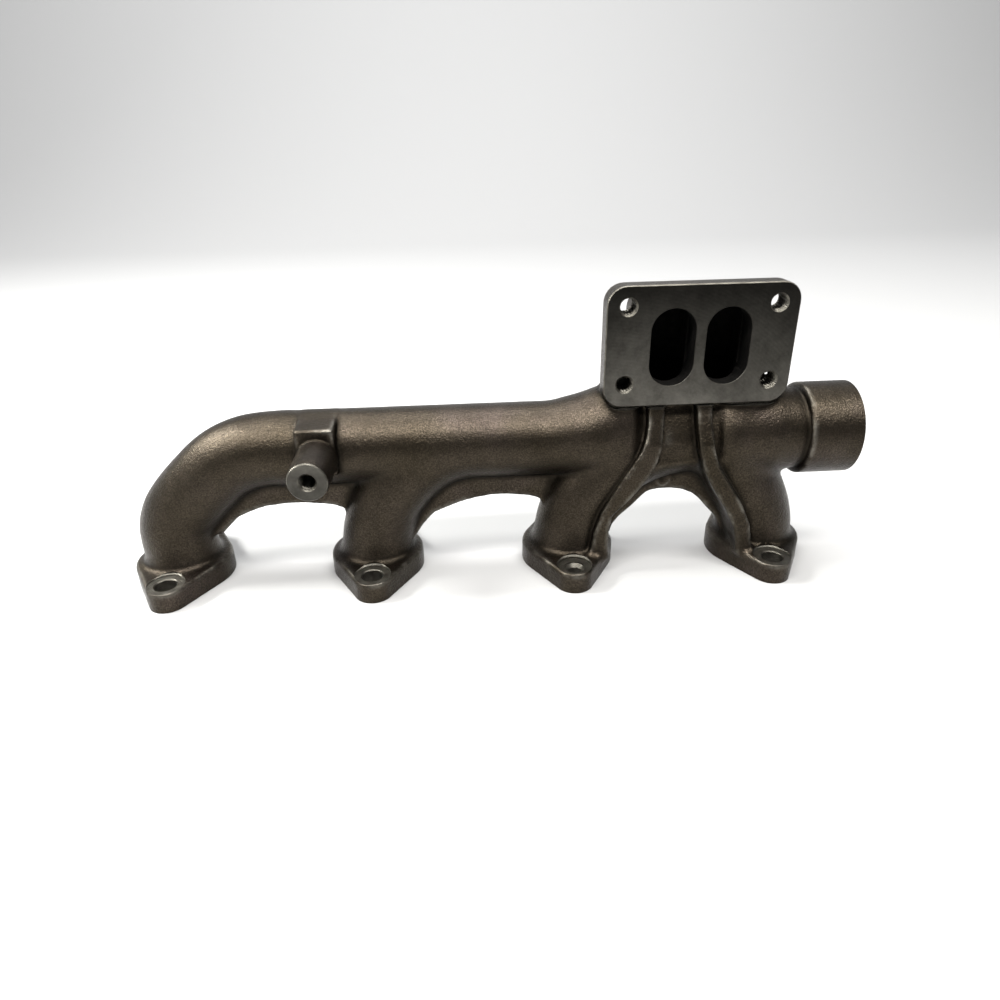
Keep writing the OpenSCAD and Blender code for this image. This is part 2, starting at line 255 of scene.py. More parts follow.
def rib(pts, y_low, y_mid, y_top, r):
    q = np.array(pts, float)

    def f(X, Y, Z):
        front = np.interp(np.asarray(Z).ravel(), (10, 50, 84, 106), (y_low, y_mid, y_mid, y_top)).astype(np.float32).reshape(np.asarray(Z).shape)
        return slab(poly2(pts, X, Z), np.maximum(front - Y, Y - 0), r)

    return f, (q[:, 0].min(), y_mid, q[:, 1].min()), (q[:, 0].max(), 0, q[:, 1].max())


add(rib(rib_a, -24.3, -25.6, -18.3, 0.7), 1.3)
add(rib(rib_b, -27.0, -28.2, -18.8, 0.7), 1.3)

# sensor pad and boss
add(yz_plate([(-25.2, 73), (-25.2, 100.4), (-2, 103.5), (3, 103.5), (3, 73)], 84.3, 106.0, 1.1), 2.2)
add(tube([(95.5, -10, 83.6), (95.5, -49.5, 83.6)], 10.5), 0)


def boss(X, Y, Z):
    q = np.sqrt((X - 95.5) ** 2 + (Z - 83.6) ** 2) - 10.5
    return slab(q, np.abs(Y + 35) - 24, 0.6)


add((boss, (85, -59, 73), (106, -10, 94.2)), 3.5)


# casting marks: a round pad on the centre web
def mark(X, Y, Z):
    q = np.abs(np.sqrt((X - 297.5) ** 2 + (Z - 53.0) ** 2) - 3.8) - 0.75
    return slab(q, np.abs(Y + 5) - 0.9, 0.3)


add((mark, (292, -7, 47), (303, -3, 59)), 0.8)


# for flanges last, so that the fillets are the branches'
for x in PX:
    add(flange(x), 6.0)

# faceless inside: gas passages behind every opening
PR = 16.0
cut(tube(spline([(0, 0, -8), (0, 0, 14), (0.1, 0, 28), (1.2, 0, 35.5), (5.0, 0, 43.5), (10.8, 0, 50.6), (17.2, 0, 57.2), (23.8, 0, 63.3)]), PR), 2)
cut(tube(spline([(120 + x, 0, z) for x, z in ((0, -8), (0, 12), (1.2, 20), (2.8, 28), (5.2, 36), (9, 46), (15.5, 56))]), PR), 2)
cut(tube(spline([(240 + x, 0, z) for x, z in ((0, -8), (0, 12), (1.2, 20), (2.8, 28), (5.2, 36), (9.5, 46), (17, 56), (28, 65), (41, 72.5))]), PR), 2)
cut(tube(spline([(360 + x, 0, z) for x, z in ((0, -8), (0, 12), (0, 19), (-1.4, 27), (-4.2, 35), (-8, 43), (-13.5, 52), (-20, 62), (-27, 72))]), PR), 2)
cut(tube([(270, 0, CZ), (290, 0, CZ)], PR), 2)
cut(tube([(326, 0, CZ), (420, 0, CZ)], 17.0), 2)
for c in (TX - 15.2, TX + 15.2):
    cut(round_box((c - 12.3, -8.0, 84), (c + 12.3, 16.5, 160), 8), 3)

# the field ends flat below the mating plane, where the planes are cut later
np.maximum(D, (-5.0 - ZS)[None, None, :], out=D)

# ---------------------------------------------------------------- surface nets
nx, ny, nz = D.shape
inside = D < 0
corner = [(i, j, k) for i in (0, 1) for j in (0, 1) for k in (0, 1)]
cnt = sum(inside[i:nx - 1 + i, j:ny - 1 + j, k:nz - 1 + k].astype(np.int8) for i, j, k in corner)
active = (cnt > 0) & (cnt < 8)
ids = np.full(active.shape, -1, np.int64)
cells = np.argwhere(active)
ids[active] = np.arange(len(cells))
acc = np.zeros((len(cells), 3))
num = np.zeros(len(cells))
ci, cj, ck = cells.T
for axis in range(3):
    for o in ((0, 0), (0, 1), (1, 0), (1, 1)):
        a = [0, 0, 0]
        oth = [t for t in range(3) if t != axis]
        a[oth[0]], a[oth[1]] = o
        b = list(a)
        b[axis] = 1
        va = D[ci + a[0], cj + a[1], ck + a[2]]
        vb = D[ci + b[0], cj + b[1], ck + b[2]]
        m = (va < 0) != (vb < 0)
        t = np.where(m, va / np.where(m, va - vb, 1), 0)
        p = np.tile(np.array(a, float), (len(cells), 1))
        p[:, axis] += t
        acc[m] += p[m]
        num[m] += 1
V = (cells + acc / num[:, None]) * H + np.array([XS[0], YS[0], ZS[0]])
quads = []
for axis in range(3):
    sl0 = [slice(None)] * 3
    sl1 = [slice(None)] * 3
    sl0[axis], sl1[axis] = slice(0, -1), slice(1, None)
    i0, i1 = inside[tuple(sl0)], inside[tuple(sl1)]
    cross = np.argwhere(i0 != i1)
    u, v = (axis + 1) % 3, (axis + 2) % 3
    ok = (cross[:, u] > 0) & (cross[:, v] > 0) & (cross[:, u] < D.shape[u] - 1) & (cross[:, v] < D.shape[v] - 1)
    cross = cross[ok]
    q = []
    for du, dv in ((-1, -1), (0, -1), (0, 0), (-1, 0)):
        c = cross.copy()
        c[:, u] += du
        c[:, v] += dv
        q.append(ids[c[:, 0], c[:, 1], c[:, 2]])
    q = np.stack(q, 1)
    flip = ~i0[cross[:, 0], cross[:, 1], cross[:, 2]]
    q[flip] = q[flip][:, ::-1]
    quads.append(q)
Q = np.concatenate(quads)
G = np.stack(np.gradient(D, H), -1)


def sample(F, P):
    g = (P - np.array([XS[0], YS[0], ZS[0]])) / H
    g = np.clip(g, 0, np.array(D.shape) - 1.001)
    i = g.astype(int)
    t = g - i
    out = 0
    for a, b, c in corner:
        w = (t[:, 0] if a else 1 - t[:, 0]) * (t[:, 1] if b else 1 - t[:, 1]) * (t[:, 2] if c else 1 - t[:, 2])
        f = F[i[:, 0] + a, i[:, 1] + b, i[:, 2] + c]
        out = out + (f * w[:, None] if f.ndim == 2 else f * w)
    return out


# twice the mean curvature of the skin: positive on outer edges, lightened as wear and as painted edge highlight;
# negative in corners and creases, darkened as painted shade
LAP = (np.gradient(G[..., 0], H, axis=0) + np.gradient(G[..., 1], H, axis=1) + np.gradient(G[..., 2], H, axis=2)).astype(np.float32)

for _ in range(3):
    d = sample(D, V)
    g = sample(G, V)
    g /= np.maximum(np.linalg.norm(g, axis=1, keepdims=True), 1e-6)
    V = V - g * np.clip(d, -0.5 * H, 0.5 * H)[:, None] * 0.9

# ---------------------------------------------------------------- materials


def material(name):
    m = bpy.data.materials.new(name)
    m.use_nodes = True
    nt = m.node_tree
    nt.nodes.clear()
    out = nt.nodes.new("ShaderNodeOutputMaterial")
    bs = nt.nodes.new("ShaderNodeBsdfPrincipled")
    nt.links.new(bs.outputs[0], out.inputs[0])
    return m, nt, bs


def node(nt, kind, **kw):
    n = nt.nodes.new(kind)
    for k, v in kw.items():
        if k in n.inputs.keys():
            n.inputs[k].default_value = v
        else:
            setattr(n, k, v)
    return n


def ramp(nt, src, stops):
    r = nt.nodes.new("ShaderNodeValToRGB")
    el = r.color_ramp.elements
    while len(el) < len(stops):
        el.new(0.5)
    for e, (p, c) in zip(el, stops):
        e.position = p
        e.color = (*c, 1) if len(c) == 3 else c
    nt.links.new(src, r.inputs[0])
    return r


def g3(v):
    return (v, v, v)


def coords(nt, s=(1, 1, 1)):
    tc = nt.nodes.new("ShaderNodeTexCoord")
    mp = nt.nodes.new("ShaderNodeMapping")
    mp.inputs["Scale"].default_value = s
    nt.links.new(tc.outputs["Object"], mp.inputs["Vector"])
    return mp.outputs["Vector"]


def mix_color(nt, fac, a, b, mode="MIX"):
    n = nt.nodes.new("ShaderNodeMix")
    n.data_type = "RGBA"
    n.blend_type = mode
    for sock, val in ((n.inputs[0], fac), (n.inputs[6], a), (n.inputs[7], b)):
        if isinstance(val, bpy.types.NodeSocket):
            nt.links.new(val, sock)
        elif isinstance(val, tuple):
            sock.default_value = (*val, 1)
        else:
            sock.default_value = val
    return n.outputs[2]


# sand-cast iron, oiled: dark bronze-grey with a fine bright speckle, outer edges lightened as wear and as painted edge
# highlight, corners and creases darkened as painted shade


def cast_material(name, deep):
    m, nt, bs = material(name)
    co = coords(nt)
    grain = node(nt, "ShaderNodeTexNoise", Scale=1250.0, Detail=3.0, Roughness=0.65)
    pits = node(nt, "ShaderNodeTexVoronoi", Scale=780.0)
    broad = node(nt, "ShaderNodeTexNoise", Scale=17.0, Detail=4.0, Roughness=0.55)
    blot = node(nt, "ShaderNodeTexNoise", Scale=85.0, Detail=5.0, Roughness=0.62)
    wave = node(nt, "ShaderNodeTexNoise", Scale=140.0, Detail=3.0, Roughness=0.5)
    for n in (grain, pits, broad, blot, wave):
        nt.links.new(co, n.inputs["Vector"])
    k = 0.5 if deep else 1.0
    tint = ramp(nt, broad.outputs["Fac"], [(0.30, (0.0335 * k, 0.0272 * k, 0.0190 * k)), (0.5, (0.0390 * k, 0.0318 * k, 0.0238 * k)), (0.70, (0.0460 * k, 0.0366 * k, 0.0308 * k))])
    c = mix_color(nt, 0.28, tint.outputs[0], ramp(nt, blot.outputs["Fac"], [(0.34, g3(0.5)), (0.5, g3(0.95)), (0.66, g3(1.35))]).outputs[0], "MULTIPLY")
    c = mix_color(nt, 0.6, c, ramp(nt, grain.outputs["Fac"], [(0.36, g3(0.45)), (0.5, g3(0.95)), (0.64, g3(1.9))]).outputs[0], "MULTIPLY")
    # painted shade: corners and creases of the skin are darkened towards near-black by the crease layer
    crease_shade_attr = node(nt, "ShaderNodeAttribute", attribute_name="crease_shade")
    c = mix_color(nt, crease_shade_attr.outputs["Fac"], c, (0.013, 0.0108, 0.0080))
    # outer edges lightened, patchy with the blot noise: edge wear, and a painted edge highlight
    wear_and_edge_highlight = node(nt, "ShaderNodeAttribute", attribute_name="wear_and_edge_highlight")
    mul = nt.nodes.new("ShaderNodeMath")
    mul.operation = "MULTIPLY"
    nt.links.new(wear_and_edge_highlight.outputs["Fac"], mul.inputs[0])
    nt.links.new(ramp(nt, blot.outputs["Fac"], [(0.42, g3(0.05)), (0.60, g3(0.75))]).outputs[0], mul.inputs[1])
    c = mix_color(nt, mul.outputs[0], c, (0.155, 0.145, 0.125))
    nt.links.new(c, bs.inputs["Base Color"])
    rgh = ramp(nt, grain.outputs["Fac"], [(0.32, g3(0.48)), (0.5, g3(0.37)), (0.68, g3(0.26))])
    nt.links.new(rgh.outputs[0], bs.inputs["Roughness"])
    bs.inputs["Metallic"].default_value = 1.0
    b1 = node(nt, "ShaderNodeBump", Strength=0.35, Distance=0.0007)
    b2_ = node(nt, "ShaderNodeBump", Strength=0.7, Distance=0.00034)
    b3_ = node(nt, "ShaderNodeBump", Strength=0.35, Distance=0.0003)
    nt.links.new(wave.outputs["Fac"], b1.inputs["Height"])
    nt.links.new(grain.outputs["Fac"], b2_.inputs["Height"])
    nt.links.new(pits.outputs["Distance"], b3_.inputs["Height"])
    nt.links.new(b1.outputs[0], b2_.inputs["Normal"])
    nt.links.new(b2_.outputs[0], b3_.inputs["Normal"])
    nt.links.new(b3_.outputs[0], bs.inputs["Normal"])
    return m


CAST = cast_material("cast_iron_skin", False)
SECTION = cast_material("parting_section", True)

# milled face
FACE, nt, bs = material("milled_face")
co = coords(nt)
rings = node(nt, "ShaderNodeTexWave", Scale=160.0, Distortion=0.6, Detail=2.0, wave_type="RINGS", rings_direction="SPHERICAL")
rings.inputs["Detail Scale"].default_value = 3.0
mp = nt.nodes.new("ShaderNodeMapping")
mp.inputs["Location"].default_value = (-0.25, 0.0, -0.02)
nt.links.new(co, mp.inputs["Vector"])
nt.links.new(mp.outputs["Vector"], rings.inputs["Vector"])
spot = node(nt, "ShaderNodeTexNoise", Scale=140.0, Detail=6.0, Roughness=0.7)
broad = node(nt, "ShaderNodeTexNoise", Scale=30.0, Detail=3.0)
nt.links.new(co, spot.inputs["Vector"])
nt.links.new(co, broad.inputs["Vector"])
base = ramp(nt, broad.outputs["Fac"], [(0.3, (0.040, 0.0378, 0.0330)), (0.7, (0.062, 0.0590, 0.0520))])
# the face colour is scaled with height: brightest near z 96 mm, darkest towards the top of the turbocharger face
face_height = nt.nodes.new("ShaderNodeSeparateXYZ")
nt.links.new(co, face_height.inputs[0])
height_scaled_base = mix_color(nt, 1.0, base.outputs[0], ramp(nt, face_height.outputs["Z"], [(0.060, g3(0.9)), (0.086, g3(1.2)), (0.096, g3(2.1)), (0.130, g3(1.1)), (0.168, g3(0.30))]).outputs[0], "MULTIPLY")
c1 = mix_color(nt, 0.5, height_scaled_base, ramp(nt, spot.outputs["Fac"], [(0.28, g3(0.35)), (0.5, g3(0.95)), (0.75, g3(1.5))]).outputs[0], "MULTIPLY")
nt.links.new(c1, bs.inputs["Base Color"])
rgh = ramp(nt, spot.outputs["Fac"], [(0.3, g3(0.50)), (0.7, g3(0.38))])
nt.links.new(rgh.outputs[0], bs.inputs["Roughness"])
bs.inputs["Metallic"].default_value = 1.0
bmp = node(nt, "ShaderNodeBump", Strength=0.10, Distance=0.0002)
nt.links.new(rings.outputs["Fac"], bmp.inputs["Height"])
nt.links.new(bmp.outputs[0], bs.inputs["Normal"])

# bored and tapped holes: bright cut metal with turning rings
CUTM, nt, bs = material("bored_metal")
co = coords(nt)
rings = node(nt, "ShaderNodeTexWave", Scale=400.0, Distortion=0.3, wave_type="BANDS", bands_direction="DIAGONAL")
spot = node(nt, "ShaderNodeTexNoise", Scale=220.0, Detail=4.0)
nt.links.new(co, rings.inputs["Vector"])
nt.links.new(co, spot.inputs["Vector"])
base = ramp(nt, spot.outputs["Fac"], [(0.3, (0.055, 0.051, 0.043)), (0.7, (0.125, 0.118, 0.100))])
nt.links.new(base.outputs[0], bs.inputs["Base Color"])
bs.inputs["Metallic"].default_value = 0.9
bs.inputs["Roughness"].default_value = 0.36
bmp = node(nt, "ShaderNodeBump", Strength=0.35, Distance=0.0003)
nt.links.new(rings.outputs["Fac"], bmp.inputs["Height"])
nt.links.new(bmp.outputs[0], bs.inputs["Normal"])

# near-black inside of the gas passages: painted shade for the deep passages
PASSAGE_SHADE, nt, bs = material("passage_painted_shade")
co = coords(nt)
spot = node(nt, "ShaderNodeTexNoise", Scale=300.0, Detail=4.0)
nt.links.new(co, spot.inputs["Vector"])
base = ramp(nt, spot.outputs["Fac"], [(0.3, (0.002, 0.002, 0.0018)), (0.7, (0.006, 0.0055, 0.005))])
nt.links.new(base.outputs[0], bs.inputs["Base Color"])
bs.inputs["Roughness"].default_value = 0.85
bs.inputs["Specular IOR Level"].default_value = 0.05
bs.inputs["Metallic"].default_value = 0.0
bmp = node(nt, "ShaderNodeBump", Strength=0.5, Distance=0.0004)
nt.links.new(spot.outputs["Fac"], bmp.inputs["Height"])
nt.links.new(bmp.outputs[0], bs.inputs["Normal"])
MATS = [CAST, FACE, CUTM, PASSAGE_SHADE, SECTION]

# ---------------------------------------------------------------- the casting, then its machining


def mesh_object(name, verts, faces, mats, index=0):
    me = bpy.data.meshes.new(name)
    me.from_pydata((np.asarray(verts) * MM).tolist(), [], [list(map(int, f)) for f in faces])
    for m in mats:
        me.materials.append(m)
    if index:
        me.polygons.foreach_set("material_index", np.full(len(me.polygons), index, np.int32))
    me.update()
    ob = bpy.data.objects.new(name, me)
    bpy.context.scene.collection.objects.link(ob)
    return ob


casting = mesh_object("manifold_casting", V, Q, MATS)


class Cutter:
    def __init__(self):
        self.v, self.f, self.m, self.n = [], [], [], 0

    def put(self, v, f, mat):
        self.v += [list(p) for p in v]
        self.f += [[i + self.n for i in q] for q in f]
        self.m += [mat] * len(f)
        self.n += len(v)

    def box(self, lo, hi, mat):
        v = [(x, y, z) for x in (lo[0], hi[0]) for y in (lo[1], hi[1]) for z in (lo[2], hi[2])]
        f = [(0, 1, 3, 2), (4, 6, 7, 5), (0, 4, 5, 1), (2, 3, 7, 6), (0, 2, 6, 4), (1, 5, 7, 3)]
        self.put(v, f, mat)

    def lathe(self, origin, axis, profile, mats, n=96):
        """Closed turned shape. profile is (distance along the axis, radius); mats one per side band, then its ends take the first and last."""
        w = np.array(axis, float)
        u = np.array((0, 0, 1.0)) if abs(w[2]) < 0.5 else np.array((1.0, 0, 0))
        v = np.cross(w, u)
        o = np.array(origin, float)
        a = np.arange(n) * 2 * np.pi / n
        pts, faces, fm = [], [], []
        for t, r in profile:
            pts += [tuple(o + w * t + r * (math.cos(x) * u + math.sin(x) * v)) for x in a]
        for k in range(len(profile) - 1):
            for i in range(n):
                j = (i + 1) % n
                faces.append((k * n + i, k * n + j, (k + 1) * n + j, (k + 1) * n + i))
                fm.append(mats[k])
        faces.append(tuple(range(n))[::-1])
        fm.append(mats[0])
        faces.append(tuple((len(profile) - 1) * n + i for i in range(n)))
        fm.append(mats[-1])
        base = self.n
        self.v += [list(p) for p in pts]
        self.f += [[i + base for i in q] for q in faces]
        self.m += fm
        self.n += len(pts)

    def obround(self, cx, cz, hw, hh, rings, mats, n=24):
        """Closed obround prism along Y; rings are (y, growth)."""
        faces, fm, pts = [], [], []
        m = None
        for y, g in rings:
            r = hw + g
            ring = [(cx + r * math.cos(t), y, cz + (hh - hw) + r * math.sin(t)) for t in np.linspace(0, math.pi, n)]
            ring += [(cx + r * math.cos(t), y, cz - (hh - hw) + r * math.sin(t)) for t in np.linspace(math.pi, 2 * math.pi, n)]
            m = len(ring)
            pts += ring
        for k in range(len(rings) - 1):
            for i in range(m):
                j = (i + 1) % m
                faces.append((k * m + j, k * m + i, (k + 1) * m + i, (k + 1) * m + j))
                fm.append(mats[k])
        faces.append(tuple(range(m)))
        fm.append(mats[0])
        faces.append(tuple((len(rings) - 1) * m + i for i in range(m))[::-1])
        fm.append(mats[-1])
        base = self.n
        self.v += [list(p) for p in pts]
        self.f += [[i + base for i in q] for q in faces]
        self.m += fm
        self.n += len(pts)

    def thread(self, origin, axis, t0, t1, r, depth, pitch, mat, n=40):
        """Closed tapped hole: a cylinder whose wall follows a helix, plain for the first and last half turn."""
        w = np.array(axis, float)
        u = np.array((0, 0, 1.0)) if abs(w[2]) < 0.5 else np.array((1.0, 0, 0))
        v = np.cross(w, u)
        o = np.array(origin, float)
        ts = np.linspace(t0, t1, max(4, int(round((t1 - t0) / pitch * 6)) + 1))
        pts, faces = [], []
        for t in ts:
            fade = min(1.0, (t - t0) / (0.6 * pitch), (t1 - t) / (0.6 * pitch))
            for i in range(n):
                a = 2 * math.pi * i / n
                ph = ((t - t0) / pitch - i / n) % 1.0
                rr_ = r + depth * max(fade, 0.0) * (1 - abs(2 * ph - 1))
                pts.append(tuple(o + w * t + rr_ * (math.cos(a) * u + math.sin(a) * v)))
        for k in range(len(ts) - 1):
            for i in range(n):
                j = (i + 1) % n
                faces.append((k * n + i, k * n + j, (k + 1) * n + j, (k + 1) * n + i))
        faces.append(tuple(range(n))[::-1])
        faces.append(tuple((len(ts) - 1) * n + i for i in range(n)))
        self.put(pts, faces, mat)

    def edge_break(self, cx, cz, hw, hh, r, y, size, mat, n=14, full=True):
        """Ring of triangular section that takes the sharp edge off a rounded rectangular face."""
        pts, faces = [], []
        for sx, sz, a0 in ((1, 1, 0), (-1, 1, math.pi / 2), (-1, -1, math.pi), (1, -1, 1.5 * math.pi)):
            for t in np.linspace(a0, a0 + math.pi / 2, n, endpoint=full):
                for dr, dy in ((-size, -0.02), (1.6, -1.6 - size), (1.6, 1.6 + size)):
                    rr_ = r + dr
                    pts.append((cx + sx * (hw - r) + rr_ * math.cos(t), y + dy, cz + sz * (hh - r) + rr_ * math.sin(t)))
        m = len(pts) // 3
        for i in range(m):
            j = (i + 1) % m
            for a, b in ((0, 1), (1, 2), (2, 0)):
                faces.append((i * 3 + a, j * 3 + a, j * 3 + b, i * 3 + b))
        self.put(pts, faces, mat)

    def prism(self, outline, y0, y1, mat):
        """Closed prism over an outline in XZ, from y0 to y1."""
        n = len(outline)
        pts = [(x, y, z) for y in (y0, y1) for x, z in outline]
        faces = [(i, (i + 1) % n, n + (i + 1) % n, n + i) for i in range(n)]
        faces += [tuple(range(n))[::-1], tuple(range(n, 2 * n))]
        self.put(pts, faces, mat)

    def build(self, name):
        import bmesh
        ob = mesh_object(name, self.v, self.f, MATS)
        ob.data.polygons.foreach_set("material_index", np.array(self.m, np.int32))
        bm = bmesh.new()
        bm.from_mesh(ob.data)
        bmesh.ops.recalc_face_normals(bm, faces=bm.faces)
        bm.to_mesh(ob.data)
        bm.free()
        return ob

    def apply(self, target, name):
        ob = mesh_object(name, self.v, self.f, MATS)
        ob.data.polygons.foreach_set("material_index", np.array(self.m, np.int32))
        import bmesh
        bm = bmesh.new()
        bm.from_mesh(ob.data)
        bmesh.ops.recalc_face_normals(bm, faces=bm.faces)
        bm.to_mesh(ob.data)
        bm.free()
        md = target.modifiers.new(name, "BOOLEAN")
        md.operation = "DIFFERENCE"
        md.object = ob
        md.solver = "MANIFOLD"
        bpy.context.view_layer.update()
        before = len(target.data.polygons)
        dg = bpy.context.evaluated_depsgraph_get()
        me = bpy.data.meshes.new_from_object(target.evaluated_get(dg), preserve_all_data_layers=True, depsgraph=dg)
        target.modifiers.clear()
        old = target.data
        target.data = me
        bpy.data.meshes.remove(old)
        bpy.data.objects.remove(ob)
        print(name, before, "->", len(me.polygons), [m.name if m else None for m in me.materials])


c = Cutter()
c.box((-60, -80, -20), (410, 80, 0), 1)
c.box((240, -40, TZ - TH / 2 - 0.3), (380, TY, 190), 1)
c.box((406, -60, 20), (440, 60, 150), 1)
c.box((80, -80, 60), (112, -56, 110), 1)
c.apply(casting, "planes")

c = Cutter()
for i, x in enumerate(PX):
    c.lathe((x, 0, 0), (0, 0, 1), [(-3, 16.5), (13.2, 16.5)], [2])
    for s in (-1, 1):
        if i == 2 and s < 0:
            c.lathe((x, s * BY, 0), (0, 0, 1), [(11.2, 10.2), (12.5, 10.2), (13.3, 11.1), (34, 11.1)], [2, 2, 0])
        else:
            c.lathe((x, s * BY, 0), (0, 0, 1), [(12.2, 10.6), (12.7, 10.6), (13.4, 11.4), (34, 11.4)], [2, 2, 0])
c.lathe((0, 0, CZ), (1, 0, 0), [(380, 22.5), (404.9, 22.5), (406.1, 23.7), (409, 23.7)], [2, 2, 2])
c.apply(casting, "spotfaces")

c = Cutter()
for i, x in enumerate(PX):
    for s in (-1, 1):
        if i == 2 and s < 0:
            c.lathe((x, s * BY, 0), (0, 0, 1), [(-3, 4.5), (8.2, 4.5), (10.4, 6.2), (12.5, 6.2)], [2, 2, 2], 64)
        else:
            c.lathe((x, s * BY, 0), (0, 0, 1), [(-3, 6.25), (11.6, 6.25), (12.2, 6.85), (13.5, 8.15)], [2, 2, 2], 64)
for sx in (-1, 1):
    for sz in (-1, 1):
        c.lathe((TX + sx * 40.6, 0, TZ + 1 + sz * 21.2), (0, 1, 0), [(TY - 2, 7.3), (TY + 0.9, 4.25), (-3.4, 4.25)], [2, 2], 64)
for cx in (TX - 15.2, TX + 15.2):
    c.obround(cx, TZ - 0.5, 12.3, 21.2, [(TY - 1, 0.9), (TY + 0.3, 0.0), (-4.0, 0.0)], [1, 3], 32)
c.lathe((95.5, 0, 83.6), (0, 1, 0), [(-58, 7.2), (-55.1, 4.25), (-14.5, 4.25)], [2, 2], 64)
c.apply(casting, "holes")
c = Cutter()
for sx in (-1, 1):
    for sz in (-1, 1):
        c.thread((TX + sx * 40.6, 0, TZ + 1 + sz * 21.2), (0, 1, 0), TY + 0.35, -4.0, 4.2, 0.75, 1.5, 2)
c.thread((95.5, 0, 83.6), (0, 1, 0), -55.6, -32.0, 4.2, 0.75, 1.5, 2)
c.edge_break(TX, TZ, TW / 2, TH / 2, 10.6, TY, 0.6, 2)
c.edge_break(95.5, 83.6, 10.5, 10.5, 10.5, -56.0, 0.35, 2, 20, False)
c.apply(casting, "threads")

# passage faces take the near-black material, painted shade for the deep passages
me = casting.data
nf = len(me.polygons)
mi = np.empty(nf, np.int32)
me.polygons.foreach_get("material_index", mi)
fc = np.empty(nf * 3, np.float32)
me.polygons.foreach_get("center", fc)
x, y, z = (fc.reshape(-1, 3) / MM).T
fn_ = np.empty(nf * 3, np.float32)
me.polygons.foreach_get("normal", fn_)
fn_ = fn_.reshape(-1, 3)
deep = (np.abs(x - TX) < 28.5) & (y > -9.5) & (y < 17.3) & (z > 96) & (z < 161.5)
deep |= (np.hypot(y, z - CZ) < np.where(x > 323, 18.4, 17.0)) & (x > 250) & (x < 405.9) & (fn_[:, 1] * y + fn_[:, 2] * (z - CZ) < 0)
for path in (elbow, [(120 + a, 0, b) for a, b in b2], [(240 + a, 0, b) for a, b in b3], [(360 + a, 0, b) for a, b in b4]):
    f, lo, hi = tube(spline(path), 17.0)
    deep |= (f(x, y, z) < 0) & (z < 110)
mi[(mi == 0) & deep] = 3
me.polygons.foreach_set("material_index", mi)


# the casting is carried as its named regions, each a closed mesh, parted along planes hidden in the metal
def grow(outline, d):
    p = np.array(outline, float)
    area2 = np.sum(p[:, 0] * np.roll(p[:, 1], -1) - np.roll(p[:, 0], -1) * p[:, 1])
    p = p if area2 > 0 else p[::-1]
    e = np.roll(p, -1, 0) - p
    n = np.stack([e[:, 1], -e[:, 0]], 1)
    n /= np.linalg.norm(n, axis=1, keepdims=True)
    m = n + np.roll(n, 1, 0)
    m /= np.maximum(np.sum(m * m, 1, keepdims=True) / 2, 0.5)
    return (p + m * d).tolist()


def boolean(target, cutter, op):
    md = target.modifiers.new("part", "BOOLEAN")
    md.operation = op
    md.object = cutter
    md.solver = "MANIFOLD"
    bpy.context.view_layer.update()
    dg = bpy.context.evaluated_depsgraph_get()
    me = bpy.data.meshes.new_from_object(target.evaluated_get(dg), preserve_all_data_layers=True, depsgraph=dg)
    target.modifiers.clear()
    return me


def take(name, shapes):
    """Part everything inside the shapes off the casting, as a new object."""
    c = Cutter()
    for kind, *args in shapes:
        getattr(c, kind)(*args, 4)
    ob = c.build("cutter")
    inner, rest = boolean(casting, ob, "INTERSECT"), boolean(casting, ob, "DIFFERENCE")
    old = casting.data
    casting.data = rest
    bpy.data.meshes.remove(old)
    bpy.data.objects.remove(ob)
    piece = bpy.data.objects.new(name, inner)
    bpy.context.scene.collection.objects.link(piece)
    return piece


WEB_1 = [(12, 10), (21, 24), (25.5, 33), (30, 41), (39, 50), (50, 56.5), (60, 60.5), (90, 60.5), (95, 56), (98, 48), (99.6, 40), (100.5, 32), (108, 20), (108, 10)]
WEB_2 = [(132, 6), (138, 22), (143, 32), (150, 42), (160, 51), (172, 58), (182, 60.5), (209, 60.5), (214, 56), (218, 48), (219.8, 40), (220.6, 32), (226, 20), (226, 6)]
WEB_3 = [(252, 4), (262, 22), (266, 33), (272, 42), (281, 51), (291, 57), (301, 60.5), (311, 60.5), (317, 55), (325, 46), (331, 37), (335.5, 29), (340, 18), (346, 4)]
PIECES = [("port_flange_%d" % (i + 1), ["port_flange_%d" % (i + 1)], [("box", (px - 33, -60, -5), (px + 33, 60, 13.0))]) for i, px in enumerate(PX)]
PIECES += [
    ("sensor_boss", ["sensor_boss"], [("box", (82, -70, 70), (109, -25.9, 97))]),
    ("sensor_pad", ["sensor_pad"], [("box", (81, -25.9, 69.5), (110, -17.3, 105))]),
    ("turbo_flange", ["turbo_flange"], [("box", (252.3, -30, 103.6), (364, -5, 178))]),
    ("slip_joint_sleeve", ["slip_joint_sleeve"], [("box", (377, -40, 40), (420, 40, 125))]),
    ("rib_left", ["rib_left"], [("prism", grow(rib_a, 1.7), -34, -8)]),
    ("rib_right", ["rib_right_lower", "rib_right_upper"], [("prism", grow(rib_b, 1.7), -34, -10)]),
    ("arch_web_1", ["arch_web_1"], [("prism", WEB_1, -6.7, 6.7)]),
    ("arch_web_2", ["arch_web_2"], [("prism", WEB_2, -6.7, 6.7)]),
    ("centre_web", ["centre_web"], [("prism", WEB_3, -7.2, 7.2)]),
    ("end_elbow", ["end_elbow_lower", "end_elbow_middle", "end_elbow_upper"], [("box", (-40, -60, 5), (66, 60, 130))]),
    ("branch_2", ["branch_2_lower", "branch_2_upper"], [("box", (66, -60, 5), (192, 60, 60.2))]),
    ("branch_3", ["branch_3_lower", "branch_3_upper"], [("box", (192, -60, 5), (301, 60, 60.2))]),
    ("branch_4", ["branch_4_lower", "branch_4_upper"], [("box", (301, -60, 5), (410, 60, 60.2))]),
    ("riser_left", ["riser_left"], [("box", (258, -60, 60.2), (308, 60, 180))]),
    ("riser_right", ["riser_right"], [("box", (308, -60, 60.2), (380, 60, 180))]),
]
made = [(take(name + "_skin", shapes), nodes_) for name, nodes_, shapes in PIECES]
casting.name = "collector_skin"
made.append((casting, ["collector"]))


